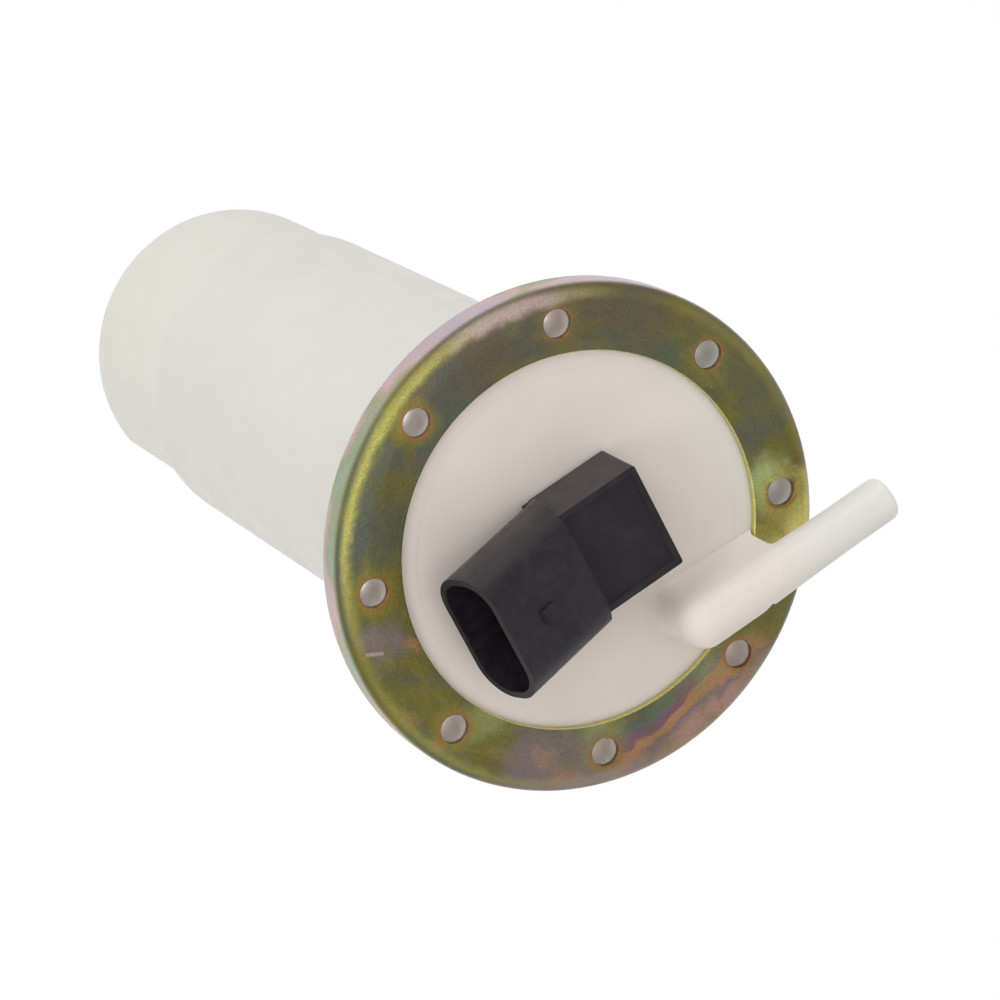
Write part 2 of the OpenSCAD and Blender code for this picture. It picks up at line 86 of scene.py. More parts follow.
MOUNTS = {mount["name"]: mount for mount in frame["record"]["mounts"]}
BOLT_R = MOUNTS["flange_bolts"]["dims"]["pcd_mm"] / 2 * MM
BOLT_COUNT = MOUNTS["flange_bolts"]["dims"]["count"]
HOLE_R = MOUNTS["flange_bolts"]["dims"]["hole_r_mm"] * MM
FIRST_BOLT = math.radians(24)
LID_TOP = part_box("connector_housing")[0].z
RING_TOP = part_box("clamp_ring")[1].z
RING_OPENING = BOLT_R - 5.85 * MM
# the fine groove on the lid's face lies between these radii
GROOVE_INNER = 31 * MM
GROOVE_OUTER = 34 * MM
# the plug shroud: the middle of its mouth, the ways out of it and over it, and its section and depths
MOUTH = Vector(MOUNTS["plug_socket"]["pos_m"])
OUT_OF_MOUTH = Vector(MOUNTS["plug_socket"]["axis"]).normalized()
OVER_MOUTH = Vector((OUT_OF_MOUTH.z, 0, -OUT_OF_MOUTH.x))
SHROUD_HALF = Vector((13.45, 7.65)) * MM
SHROUD_ROUND = 6.8 * MM
SHROUD_WALL = 1.4 * MM
SHROUD_LENGTH = 23.7 * MM
CAVITY_DEPTH = 16 * MM


# Shader nodes

class Finish:
    """A material with a Principled surface, and short calls that add nodes to it."""

    def __init__(self, name, **surface):
        self.material = bpy.data.materials.new(name)
        self.material.use_nodes = True
        self.tree = self.material.node_tree
        self.surface = self.tree.nodes["Principled BSDF"]
        for socket, value in surface.items():
            self.surface.inputs[socket.replace("_", " ")].default_value = value
        self.coords = self.add("ShaderNodeTexCoord")
        self.place = self.coords.outputs["Object"]

    def add(self, kind, **settings):
        made = self.tree.nodes.new(kind)
        for name, value in settings.items():
            setattr(made, name, value)
        return made

    def feed(self, socket, value):
        """Joins an output to a socket, or sets the socket to a number or colour."""
        if isinstance(value, bpy.types.NodeSocket):
            self.tree.links.new(value, socket)
        else:
            socket.default_value = value

    def fed(self, node, values):
        """Feeds a node's first sockets in turn."""
        for socket, value in zip(node.inputs, values):
            self.feed(socket, value)
        return node.outputs

    def math(self, operation, *values):
        return self.fed(self.add("ShaderNodeMath", operation=operation), values)[0]

    def vectors(self, operation, *values):
        found = self.fed(self.add("ShaderNodeVectorMath", operation=operation), values)
        return found["Value" if operation == "DISTANCE" else "Vector"]

    def point(self, x, y, z):
        return self.fed(self.add("ShaderNodeCombineXYZ"), (x, y, z))[0]

    def axes(self):
        return self.fed(self.add("ShaderNodeSeparateXYZ"), (self.place,))

    def up(self):
        """How far the surface faces up: 1 on a level face and 0 on an upright one."""
        return self.fed(self.add("ShaderNodeSeparateXYZ"), (self.coords.outputs["Normal"],))["Z"]

    def upright(self):
        """1 on upright faces, and less the more level a face lies."""
        return self.span(self.math("ABSOLUTE", self.up()), 0.15, 0.92, 1.0, 0.0)

    def stretched(self, scale):
        """The place, squeezed along each axis by a factor."""
        made = self.add("ShaderNodeMapping")
        self.feed(made.inputs["Vector"], self.place)
        made.inputs["Scale"].default_value = scale
        return made.outputs[0]

    def noise(self, size, detail=3.0, rough=0.55, warp=0.0, at=None, output=0):
        """Soft noise whose features are about size metres wide."""
        made = self.add("ShaderNodeTexNoise")
        self.feed(made.inputs["Vector"], at or self.place)
        made.inputs["Scale"].default_value = 1 / size
        made.inputs["Detail"].default_value = detail
        made.inputs["Roughness"].default_value = rough
        made.inputs["Distortion"].default_value = warp
        return made.outputs[output]

    def cells(self, size):
        made = self.add("ShaderNodeTexVoronoi")
        self.feed(made.inputs["Vector"], self.place)
        made.inputs["Scale"].default_value = 1 / size
        return made.outputs["Distance"]

    def ramp(self, factor, stops):
        made = self.add("ShaderNodeValToRGB")
        elements = made.color_ramp.elements
        while len(elements) < len(stops):
            elements.new(1.0)
        for element, (place, colour) in zip(elements, stops):
            element.position = place
            element.color = (*colour, 1.0)
        return self.fed(made, (factor,))[0]

    def span(self, value, low, high, to_low=0.0, to_high=1.0):
        """Value's range from low to high, brought smoothly to another range."""
        made = self.add("ShaderNodeMapRange", interpolation_type="SMOOTHSTEP")
        return self.fed(made, (value, low, high, to_low, to_high))[0]

    def mix(self, factor, first, second, blend="MIX"):
        made = self.add("ShaderNodeMix", data_type="RGBA", blend_type=blend)
        colours = [socket for socket in made.inputs if socket.type == "RGBA"]
        self.feed(made.inputs[0], factor)
        for socket, value in zip(colours, (first, second)):
            self.feed(socket, value if isinstance(value, bpy.types.NodeSocket) else (*value, 1.0))
        return [socket for socket in made.outputs if socket.type == "RGBA"][0]

    def bump(self, height, depth, strength=1.0, over=None):
        """A relief whose height is depth metres, laid over another if there is one."""
        made = self.add("ShaderNodeBump")
        made.inputs["Strength"].default_value = strength
        made.inputs["Distance"].default_value = depth
        self.feed(made.inputs["Height"], height)
        if over is not None:
            self.feed(made.inputs["Normal"], over)
        return made.outputs[0]

    def colour(self, value):
        self.feed(self.surface.inputs["Base Color"], value)

    def rough(self, value):
        self.feed(self.surface.inputs["Roughness"], value)

    def relief(self, value):
        self.feed(self.surface.inputs["Normal"], value)


def scaled(colour, factor):
    return tuple(channel * factor for channel in colour)


def round_hole(made, x, y):
    """Distance from the middle of the nearest bolt hole, with the radius and angle from the axis."""
    radius = made.math("SQRT", made.math("ADD", made.math("MULTIPLY", x, x), made.math("MULTIPLY", y, y)))
    angle = made.math("ARCTAN2", y, x)
    half = math.pi / BOLT_COUNT
    folded = made.math("WRAP", made.math("SUBTRACT", angle, FIRST_BOLT), half, -half)
    along = made.math("SUBTRACT", made.math("MULTIPLY", radius, made.math("COSINE", folded)), BOLT_R)
    aside = made.math("MULTIPLY", radius, made.math("SINE", folded))
    to_hole = made.math("SQRT", made.math("ADD", made.math("MULTIPLY", along, along),
                                          made.math("MULTIPLY", aside, aside)))
    return to_hole, radius, angle


def pushed_about(made):
    """The place on the ring, pushed about so that no stain is a plain circle."""
    push = made.vectors("SUBTRACT", made.noise(8 * MM, 4.0, 0.6, output="Color"), (0.5, 0.5, 0.5))
    return made.vectors("MULTIPLY_ADD", push, (12 * MM, 12 * MM, 0), made.place)


def stained(made, at, patches):
    """How strongly a set of soft round patches covers a place: 0 outside them, up to 1 in their middle."""
    total = None
    for degrees, radius, size, strength in patches:
        side = math.radians(degrees)
        middle = (math.cos(side) * radius, math.sin(side) * radius, RING_TOP)
        patch = made.span(made.vectors("DISTANCE", at, middle), 0.15 * size, size, strength, 0.0)
        total = patch if total is None else made.math("MAXIMUM", total, patch)
    return total


def zinc_film(made, looks, ragged, radius, angle):
    """The film's colour on the ring's face: olive, with a stain of each kind over it."""
    skin = made.mix(made.span(made.noise(looks.film_size, 3.0, 0.5, 0.8), 0.36, 0.64),
                    looks.film_grey, looks.film_olive)
    skin = made.mix(made.span(made.noise(9 * MM, 4.0, 0.6, 0.5, ragged), 0.45, 0.75, 0.0, 0.7), skin,
                    looks.film_green)
    # streaks run round the ring, as the plating bath drained
    drained = made.point(radius, made.math("MULTIPLY", angle, BOLT_R * 0.3), 0.0)
    streaks = made.noise(3.2 * MM, 4.0, 0.6, 0.7, drained)
    skin = made.mix(made.span(streaks, 0.42, 0.72, 0.0, 0.45), skin, looks.film_gold)
    # where the film is thickest its colours lie in bands, from green inside to rose at the rim
    wave = made.span(made.noise(14 * MM, 3.0, 0.5, 0.4), 0.3, 0.7, -3 * MM, 3 * MM)
    across = made.span(made.math("ADD", radius, wave), BOLT_R - 6 * MM, BOLT_R + 6 * MM)
    bands = made.ramp(across, [
        (0.0, looks.film_green), (0.14, looks.film_blue), (0.27, looks.film_plum), (0.50, looks.film_plum),
        (0.58, looks.film_copper), (0.78, looks.film_copper), (0.88, looks.film_violet),
        (1.0, looks.film_rose)])
    for stains, colour in ((looks.grey_stains, looks.film_grey), (looks.green_stains, looks.film_lime),
                           (looks.brown_stains, looks.film_brown), (looks.gold_stains, looks.film_bright),
                           (looks.rose_stains, bands), (looks.violet_stains, looks.film_violet),
                           (looks.copper_stains, looks.film_copper)):
        skin = made.mix(stained(made, ragged, stains()), skin, colour)
    return skin


def hole_halos(made, looks, skin, to_hole, x, fine):
    """Gold halos round the bolt holes, weaker on the right, with a narrow amber stain at each edge."""
    ragged = made.math("ADD", to_hole, made.span(fine, 0.3, 0.7, -0.5 * MM, 0.5 * MM))
    halo = made.span(ragged, HOLE_R + 0.4 * MM, HOLE_R + 3.4 * MM, 1.0, 0.0)
    halo = made.math("MULTIPLY", halo, made.span(x, -30 * MM, 5 * MM, 0.6, 0.2))
    skin = made.mix(halo, skin, looks.film_gold)
    stain = made.span(ragged, HOLE_R + 0.1 * MM, HOLE_R + 1.2 * MM, 0.95, 0.0)
    return made.mix(made.math("MULTIPLY", stain, made.span(fine, 0.36, 0.52)), skin, looks.film_amber)


def painted_bend_highlight(made, looks, skin, ragged, radius, fine, grain):
    """The bend where the face turns down, with a painted highlight in bright gold and in places white."""
    white = stained(made, ragged, looks.white_highlight_places())
    highlight_reach = made.math("ADD", radius, made.span(fine, 0.3, 0.7, -0.4 * MM, 0.4 * MM))
    highlight_reach = made.math("MULTIPLY_ADD", white, 0.7 * MM, highlight_reach)
    # painted highlight: a band across the bend, broken into specks by the grain
    bend = made.math("MULTIPLY", made.span(highlight_reach, BOLT_R + 3.3 * MM, BOLT_R + 5.3 * MM),
                     made.span(radius, BOLT_R + 5.2 * MM, BOLT_R + 6.4 * MM, 1.0, 0.15))
    highlight_colour = made.mix(made.span(grain, 0.36, 0.62, 0.1, 1.0),
                      made.mix(white, looks.film_gold, looks.film_rose),
                      made.mix(white, looks.bend_highlight_gold, looks.bend_highlight_white))
    return made.mix(bend, skin, made.mix(stained(made, ragged, looks.highlight_places()), skin, highlight_colour))


def rim_bands(made, looks, skin, bent, radius, angle, z):
    """The turned down rim, whose film has bands of its own that run round it."""
    along = made.point(made.math("MULTIPLY", angle, 14 * MM), 0.0, made.math("MULTIPLY", z, 0.5))
    bands = made.ramp(made.span(made.noise(7 * MM, 2.0, 0.5, 0.6, along), 0.28, 0.72), [
        (0.0, looks.rim_teal), (0.3, looks.rim_green), (0.5, looks.rim_gold), (0.72, looks.rim_pink),
        (1.0, looks.rim_lilac)])
    outside = made.span(radius, BOLT_R + HOLE_R, BOLT_R + HOLE_R + 0.5 * MM)
    return made.mix(made.math("MULTIPLY", made.span(bent, 0.42, 0.88), outside), skin, bands)


def plating(looks):
    """Yellow zinc: olive film with gold, rose and violet stains, halos at the holes and a painted highlight
    on the bend.
    """
    made = Finish("yellow_zinc", Metallic=1.0)
    x, y, z = made.axes()
    to_hole, radius, angle = round_hole(made, x, y)
    ragged = pushed_about(made)
    fine = made.noise(3.5 * MM)
    grain = made.noise(looks.zinc_grain, 3.0, 0.65)
    bent = made.math("SUBTRACT", 1.0, made.up())
    skin = zinc_film(made, looks, ragged, radius, angle)
    skin = hole_halos(made, looks, skin, to_hole, x, fine)
    skin = made.mix(stained(made, made.place, looks.scratch()), skin, looks.rim_lilac)
    skin = painted_bend_highlight(made, looks, skin, ragged, radius, fine, grain)
    skin = rim_bands(made, looks, skin, bent, radius, angle, z)
    # painted highlight: the rounded edge round the lid is painted bright gold
    inside = made.math("MULTIPLY", made.span(bent, 0.03, 0.4),
                       made.span(radius, BOLT_R - 5.0 * MM, BOLT_R - 5.5 * MM))
    skin = made.mix(inside, skin, looks.edge_highlight)
    made.colour(made.mix(made.span(grain, 0.35, 0.65, 0.0, 0.4), skin, (0.55, 0.55, 0.5), "MULTIPLY"))
    made.rough(made.span(made.noise(5 * MM), 0.3, 0.7, 0.27, 0.37))
    # the plate is not quite flat: it falls away softly outside the bolts
    fall = made.span(radius, BOLT_R, BOLT_R + 6.5 * MM, 0.0, -looks.dish)
    made.relief(made.bump(grain, 0.09 * MM, 1.0, made.bump(fall, 1.0)))
    return made.material


def pale_plastic(name, colour, shade, looks, glow, tip=None):
    """Natural moulded plastic, waxy and a little cloudy inside. The lid's takes another tone at its tip,
    and its upright faces are painted lighter.
    """
    made = Finish(name, Specular_IOR_Level=0.4, Subsurface_Weight=1.0)
    made.surface.inputs["Subsurface Radius"].default_value = (1.0, 0.9, 0.8)
    made.surface.inputs["Subsurface Scale"].default_value = glow
    clouds = made.span(made.noise(26 * MM, 3.0, 0.5, 0.4), 0.3, 0.7)
    tone = made.mix(clouds, colour, scaled(colour, shade))
    if tip:
        tone = made.mix(made.span(made.axes()["X"], BOLT_R / 2, BOLT_R), tone, tip)
        # painted light: upright faces, such as the boss's sides, are made a little lighter to lift their
        # shade
        tone = made.mix(made.upright(), tone, (1.07, 1.08, 1.09), "MULTIPLY")
    made.colour(tone)
    made.rough(made.span(made.noise(7 * MM), 0.3, 0.7, 0.36, 0.48))
    skin = made.bump(made.noise(0.35 * MM, 2.0), 0.004 * MM)
    made.relief(made.bump(made.noise(9 * MM, 2.0), looks.sink_depth, 1.0, skin))
    return made.material


def black_plastic(looks, painted_sides=True):
    """Black moulded nylon: fine skin, flow marks and pale scuffs, with painted light that makes its sides
    paler, in patches.
    """
    made = Finish("black_nylon" if painted_sides else "black_nylon_inside", Specular_IOR_Level=0.18)
    flow = made.noise(5 * MM, 4.0, 0.6, 1.5, made.stretched((1, 1, 0.35)))
    scuffs = made.span(made.noise(1.0 * MM, 5.0, 0.7, 2.0), 0.60, 0.76, 0.0, 0.5)
    tone = made.mix(made.span(flow, 0.3, 0.7), scaled(looks.nylon, 0.70), scaled(looks.nylon, 1.3))
    if painted_sides:
        # painted light: the upright sides and rounds are made paler, in patches, as if lit
        side = made.upright()
        patchy = made.span(made.noise(8 * MM, 4.0, 0.6), 0.25, 0.75, 0.65, 1.0)
        tone = made.mix(made.math("MULTIPLY", side, patchy), tone, looks.nylon_side_light)
        scuffs = made.math("MULTIPLY", scuffs, 0.6)
    made.colour(made.mix(scuffs, tone, scaled(looks.nylon, 3.5)))
    made.rough(made.span(flow, 0.3, 0.7, 0.28, 0.46))
    skin = made.bump(made.noise(0.25 * MM, 2.0), 0.008 * MM)
    made.relief(made.bump(flow, 0.09 * MM, 0.7, skin))
    return made.material


def resin(looks):
    """Cured black resin with small pits, specks and a soft uneven surface."""
    made = Finish("potting_resin", Specular_IOR_Level=0.14)
    waves = made.noise(6 * MM, 3.0, 0.6, 0.8)
    pits = made.cells(1.1 * MM)
    specks = made.span(made.noise(0.5 * MM, 2.0), 0.72, 0.8, 0.0, 0.6)
    tone = made.mix(made.span(waves, 0.35, 0.75), looks.nylon, scaled(looks.nylon, 1.5))
    made.colour(made.mix(specks, tone, scaled(looks.nylon, 5)))
    made.rough(made.span(waves, 0.3, 0.7, 0.35, 0.6))
    dented = made.bump(made.span(pits, 0.05, 0.2), 0.05 * MM, 0.5)
    made.relief(made.bump(waves, 0.12 * MM, 0.6, dented))
    return made.material


def rubber():
    made = Finish("seal_rubber", Specular_IOR_Level=0.3)
    bloom = made.span(made.noise(3 * MM, 4.0), 0.4, 0.75)
    made.colour(made.mix(bloom, (0.012, 0.012, 0.013), (0.035, 0.034, 0.033)))
    made.rough(made.span(bloom, 0.0, 1.0, 0.6, 0.85))
    made.relief(made.bump(made.noise(0.3 * MM), 0.01 * MM))
    return made.material


def metal(name, colour, rough, drawn_out=(1, 1, 1)):
    """Bright metal. Its grain is long on an axis where drawn_out is small."""
    made = Finish(name, Metallic=1.0)
    drawn = made.noise(0.5 * MM, 3.0, 0.6, 0.0, made.stretched(drawn_out))
    stain = made.span(made.noise(6 * MM), 0.35, 0.75, 0.0, 0.4)
    made.colour(made.mix(stain, colour, scaled(colour, 0.75)))
    made.rough(made.span(drawn, 0.3, 0.7, rough * 0.8, rough * 1.3))
    made.relief(made.bump(drawn, 0.006 * MM))
    return made.material


def smooth_colour(name, colour, rough, speck=1.5, size=1.0):
    """A moulded or coated surface with a slightly uneven tone."""
    made = Finish(name)
    tone = made.span(made.noise(size * MM, 4.0), 0.35, 0.7)
    made.colour(made.mix(tone, colour, scaled(colour, speck)))
    made.rough(made.span(tone, 0.0, 1.0, rough * 0.85, min(1.0, rough * 1.2)))
    made.relief(made.bump(made.noise(0.3 * size * MM), 0.008 * MM))
    return made.material


def glass():
    made = Finish("reed_glass", Roughness=0.05, Transmission_Weight=0.85)
    ends = made.span(made.noise(2 * MM), 0.4, 0.7)
    made.colour(made.mix(ends, (0.80, 0.90, 0.88), (0.66, 0.80, 0.76)))
    made.relief(made.bump(made.noise(0.8 * MM), 0.004 * MM))
    return made.material


def cloth():
    """Fine woven strainer cloth: threads one way and the other."""
    made = Finish("strainer_cloth", Roughness=0.8)
    made.surface.inputs["Sheen Weight"].default_value = 0.3
    threads = []
    for direction in ("X", "Z"):
        wave = made.add("ShaderNodeTexWave", bands_direction=direction)
        made.feed(wave.inputs["Vector"], made.place)
        wave.inputs["Scale"].default_value = 1 / (3.2 * MM)
        wave.inputs["Distortion"].default_value = 0.4
        threads.append(wave.outputs["Fac"])
    crossed = made.math("MULTIPLY", *threads)
    made.colour(made.mix(crossed, (0.30, 0.26, 0.18), (0.62, 0.56, 0.44)))
    made.relief(made.bump(crossed, 0.1 * MM))
    return made.material


# Meshes

def new_piece(name, bm, material, body):
    """Puts a bmesh into a named object that rides on a body, with smooth faces and its own finish."""
    mesh = bpy.data.meshes.new(name)
    for face in bm.faces:
        face.smooth = True
    bm.to_mesh(mesh)
    bm.free()
    mesh.set_sharp_from_angle(angle=SHARP_ANGLE)
    mesh.materials.append(material)
    made = bpy.data.objects.new(name, mesh)
    bpy.context.scene.collection.objects.link(made)
    evened = made.modifiers.new("even_shading", "WEIGHTED_NORMAL")
    evened.keep_sharp = True
    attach(made, body)
    return made


def solid_copy(node):
    """A welded copy of a frame node's mesh, with its flat faces joined."""
    bm = bmesh.new()
    bm.from_mesh(frame["nodes"][node].data)
    bmesh.ops.remove_doubles(bm, verts=bm.verts, dist=WELD)
    bmesh.ops.dissolve_limit(bm, angle_limit=FLAT_ANGLE, verts=bm.verts, edges=bm.edges)
    return bm


def cut_off(bm, height, keep_above):
    """Cuts a bmesh level at a height and keeps one side, left open."""
    bmesh.ops.bisect_plane(bm, geom=bm.verts[:] + bm.edges[:] + bm.faces[:], dist=NEAR_CUT,
                           plane_co=(0, 0, height), plane_no=(0, 0, 1), clear_inner=keep_above,
                           clear_outer=not keep_above)


def open_edges(bm):
    return [edge for edge in bm.edges if len(edge.link_faces) == 1]


def edge_loops(edges):
    """Sorts edges into lists that are joined to one another, in an order that is the same each run."""
    left = dict.fromkeys(edges)
    loops = []
    while left:
        joined = [left.popitem()[0]]
        for edge in joined:
            for vert in edge.verts:
                for other in vert.link_edges:
                    if other in left:
                        del left[other]
                        joined.append(other)
        loops.append(joined)
    return loops


def block_from(name, bm):
    """A plain object made from a bmesh, for modifiers to work on."""
    mesh = bpy.data.meshes.new(name)
    bm.to_mesh(mesh)
    bm.free()
    block = bpy.data.objects.new(name, mesh)
    bpy.context.scene.collection.objects.link(block)
    return block


def worked(block):
    """The bmesh that a plain object's modifiers make of it. The object is removed."""
    seen = block.evaluated_get(bpy.context.evaluated_depsgraph_get())
    bm = bmesh.new()
    bm.from_mesh(seen.to_mesh())
    seen.to_mesh_clear()
    bpy.data.objects.remove(block)
    return bm


def sharp_edges(bm, wanted):
    """The edges of a bmesh that are sharper than the smooth limit, and whose middle is wanted."""
    found = []
    for edge in bm.edges:
        if len(edge.link_faces) == 2 and edge.calc_face_angle() > SHARP_ANGLE:
            if wanted((edge.verts[0].co + edge.verts[1].co) / 2):
                found.append(edge)
    return found


def round_edges(bm, edges, width):
    bmesh.ops.bevel(bm, geom=edges, offset=width, offset_type="OFFSET", segments=2, profile=0.5,
                    affect="EDGES", clamp_overlap=True, material=-1)


def rounded_node(node, name, material, body, roundings):
    """A piece that stands for a node: its copy, with each (width, wanted) set of sharp edges rounded."""
    bm = solid_copy(node)
    for width, wanted in roundings:
        round_edges(bm, sharp_edges(bm, wanted), width)
    made = new_piece(name, bm, material, body)
    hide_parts(node)
    return made


def dress(node, material):
    """Gives a frame node its finish and leaves its shape as it is."""
    piece = frame["nodes"][node]
    piece.data.materials.clear()
    piece.data.materials.append(material)


# Settings

def colour_setting(name, description, default):
    return bpy.props.FloatVectorProperty(name=name, description=description, default=default,
                                         subtype="COLOR", size=3, min=0.0, max=1.0)


def length_setting(name, description, default):
    return bpy.props.FloatProperty(name=name, description=description, default=default,
                                   unit="LENGTH", min=0.0, precision=5)


def side_setting(name, description, degrees):
    return bpy.props.FloatProperty(name=name, description=description, default=math.radians(degrees),
                                   subtype="ANGLE")


class ZincLooks(bpy.types.PropertyGroup):
    film_grey: colour_setting("Grey film", "Thinnest plating film", (0.095, 0.103, 0.085))
    film_green: colour_setting("Green film", "Thin plating film", (0.115, 0.135, 0.058))
    film_olive: colour_setting("Olive film", "Usual plating film", (0.145, 0.128, 0.034))
    film_gold: colour_setting("Gold film", "Thicker plating film", (0.240, 0.200, 0.040))
    film_bright: colour_setting("Bright film", "Brightest gold stains", (0.680, 0.600, 0.190))
    film_lime: colour_setting("Lime film", "Green gold stains", (0.400, 0.480, 0.220))
    film_amber: colour_setting("Amber film", "Film at a hole's edge", (0.270, 0.130, 0.050))
    film_brown: colour_setting("Brown film", "Dull brown film", (0.118, 0.096, 0.066))
    film_rose: colour_setting("Rose film", "Thick film with a rose cast", (0.360, 0.215, 0.180))
    film_copper: colour_setting("Copper film", "Thick film with a copper cast", (0.370, 0.190, 0.105))
    film_plum: colour_setting("Plum film", "Thick film with a plum cast", (0.185, 0.100, 0.140))
    film_violet: colour_setting("Violet film", "Thick film with a violet cast", (0.195, 0.150, 0.150))
    film_blue: colour_setting("Blue film", "Thick film, blue grey", (0.110, 0.150, 0.115))
    # painted highlight: the bend's bright gold and white stand in for the lamps' reflection
    bend_highlight_gold: colour_setting("Bend highlight gold", "Bend, where its highlight is painted", (0.450, 0.435, 0.125))
    bend_highlight_white: colour_setting("Bend highlight white", "Bend, where its highlight is painted most", (0.470, 0.400, 0.410))
    # painted highlight on the rounded edge round the lid
    edge_highlight: colour_setting("Edge highlight", "Painted highlight on the edge round the lid", (0.860, 0.790, 0.290))
    rim_teal: colour_setting("Rim teal", "Teal bands of the rim's film", (0.370, 0.490, 0.410))
    rim_green: colour_setting("Rim green", "Green bands of the rim's film", (0.370, 0.430, 0.280))
    rim_gold: colour_setting("Rim gold", "Gold bands of the rim's film", (0.460, 0.430, 0.290))
    rim_pink: colour_setting("Rim pink", "Pink bands of the rim's film", (0.680, 0.470, 0.470))
    rim_lilac: colour_setting("Rim lilac", "Lilac bands of the rim's film, and the scratch",
                              (0.590, 0.500, 0.560))
    film_size: length_setting("Film patches", "Width of the film's patches", 18 * MM)
    zinc_grain: length_setting("Zinc grain", "Width of the plating's grain", 0.34 * MM)
    dish: length_setting("Dish", "How far the plate seems to fall away outside the bolts", 0.8 * MM)
    scratch_side: side_setting("Scratch side", "Side with the short bright scratch", 174.5)
    gold_side: side_setting("Gold side", "Side where the film is bright gold", 334)
    rose_side: side_setting("Rose side", "Side where the film is thickest", 272)
    hole_edge: length_setting("Hole edge", "Rounding of the ring's hole edges", 0.15 * MM)
    opening_edge: length_setting("Opening edge", "Rounding of the edge round the lid", 0.5 * MM)

    # stains of each kind, and places of the bend's painted highlight: degrees round the ring, radius, size
    # and strength

    def gold_stains(self):
        gold = math.degrees(self.gold_side)
        return ((gold, 44 * MM, 10 * MM, 0.9), (gold - 8, 40 * MM, 8 * MM, 0.9))

    def green_stains(self):
        gold = math.degrees(self.gold_side)
        rose = math.degrees(self.rose_side)
        return ((gold + 8, 39 * MM, 8 * MM, 0.7), (gold - 8, 48 * MM, 7 * MM, 0.6),
                (gold - 14, 42 * MM, 7 * MM, 0.7), (210, 38 * MM, 6 * MM, 0.3),
                (rose - 24, 38 * MM, 6 * MM, 0.35), (rose + 12, 38 * MM, 6 * MM, 0.35))

    def rose_stains(self):
        rose = math.degrees(self.rose_side)
        return ((rose, 43 * MM, 13 * MM, 1.0), (rose + 14, 45 * MM, 11 * MM, 1.0),
                (rose + 24, 46 * MM, 7 * MM, 0.8), (rose - 16, 44 * MM, 11 * MM, 0.9))

    def violet_stains(self):
        rose = math.degrees(self.rose_side)
        return ((172, 40 * MM, 5 * MM, 0.9), (171, 44 * MM, 4.5 * MM, 0.8),
                (rose - 42, 44 * MM, 12 * MM, 0.9), (rose - 28, 45 * MM, 11 * MM, 0.85),
                (rose - 34, 40 * MM, 6 * MM, 0.6))

    def copper_stains(self):
        rose = math.degrees(self.rose_side)
        return ((177, 38.5 * MM, 2.5 * MM, 0.6), (192, 46 * MM, 3 * MM, 0.4), (203, 46.5 * MM, 3 * MM, 0.6),
                (rose - 34, 45 * MM, 3.5 * MM, 0.4), (rose - 39, 42 * MM, 2.5 * MM, 0.4))

    def brown_stains(self):
        return ((90, 43 * MM, 13 * MM, 0.95), (68, 44 * MM, 12 * MM, 0.9),
                (57, 46 * MM, 10 * MM, 0.9), (45, 44 * MM, 10 * MM, 0.75),
                (30, 46 * MM, 7 * MM, 0.4), (110, 45 * MM, 8 * MM, 0.5))

    # painted highlight: where the bend's highlight is painted white
    def white_highlight_places(self):
        return ((80, 48 * MM, 21 * MM, 0.95), (250, 48 * MM, 26 * MM, 0.8))

    # painted highlight: where and how strongly the bend's highlight is painted
    def highlight_places(self):
        return ((125, 46 * MM, 60 * MM, 0.85), (82, 47 * MM, 30 * MM, 0.95), (200, 46 * MM, 40 * MM, 0.5),
                (240, 48 * MM, 30 * MM, 0.4), (20, 46 * MM, 40 * MM, 0.25))

    def grey_stains(self):
        return ((102, 39 * MM, 13 * MM, 0.9), (0, 39 * MM, 7 * MM, 0.7), (8, 43 * MM, 7 * MM, 0.6),
                (145, 40 * MM, 9 * MM, 0.6), (50, 39 * MM, 8 * MM, 0.6), (228, 38 * MM, 6 * MM, 0.5))

    def scratch(self):
        """A short bright scratch outside the bolts, as small stains in a row."""
        side = math.degrees(self.scratch_side)
        return tuple((side - 0.25 * dot, (43.6 + 0.45 * dot) * MM, 0.6 * MM, 0.42) for dot in range(7))


class PlasticLooks(bpy.types.PropertyGroup):
    lid_white: colour_setting("Lid", "Lid and nipple plastic", (0.710, 0.648, 0.598))
    nipple_white: colour_setting("Nipple", "Nipple's plastic, away from the lid", (0.67, 0.65, 0.615))
    tube_white: colour_setting("Tube", "Tube and cup plastic", (0.716, 0.692, 0.632))
    nylon: colour_setting("Black nylon", "Plug socket and box", (0.0165, 0.0140, 0.0168))
    # painted light on the sides of the socket and box
    nylon_side_light: colour_setting("Nylon side light", "Painted light on the sides of the plug socket and box", (0.055, 0.049, 0.050))
    lid_glow: length_setting("Lid glow", "How deep light spreads in the lid", 3.5 * MM)
    tube_glow: length_setting("Tube glow", "How deep light spreads in the tube", 2.5 * MM)
    sink_depth: length_setting("Sink depth", "Depth of soft moulding waves", 0.03 * MM)
    groove_depth: length_setting("Groove depth", "Depth of the fine groove on the lid's face", 0.03 * MM)
    boss_foot: length_setting("Boss foot", "Rounding where the boss meets the lid", 1.5 * MM)
    nipple_grid: length_setting("Nipple grid", "Fineness of the nipple's rounded mesh", 0.28 * MM)
    box_edge: length_setting("Box edge", "Rounding of the socket's edges", 0.25 * MM)
    collar: length_setting("Collar", "Width of the band at the shroud's rear edge", 1.7 * MM)
    collar_depth: length_setting("Collar line", "Depth of the line that marks the band", 0.12 * MM)
    mesh_pitch: length_setting("Mesh pitch", "Distance between the inlet screen's wires", 0.9 * MM)
    mesh_wire: length_setting("Mesh wire", "Thickness of the inlet screen's wires", 0.14 * MM)


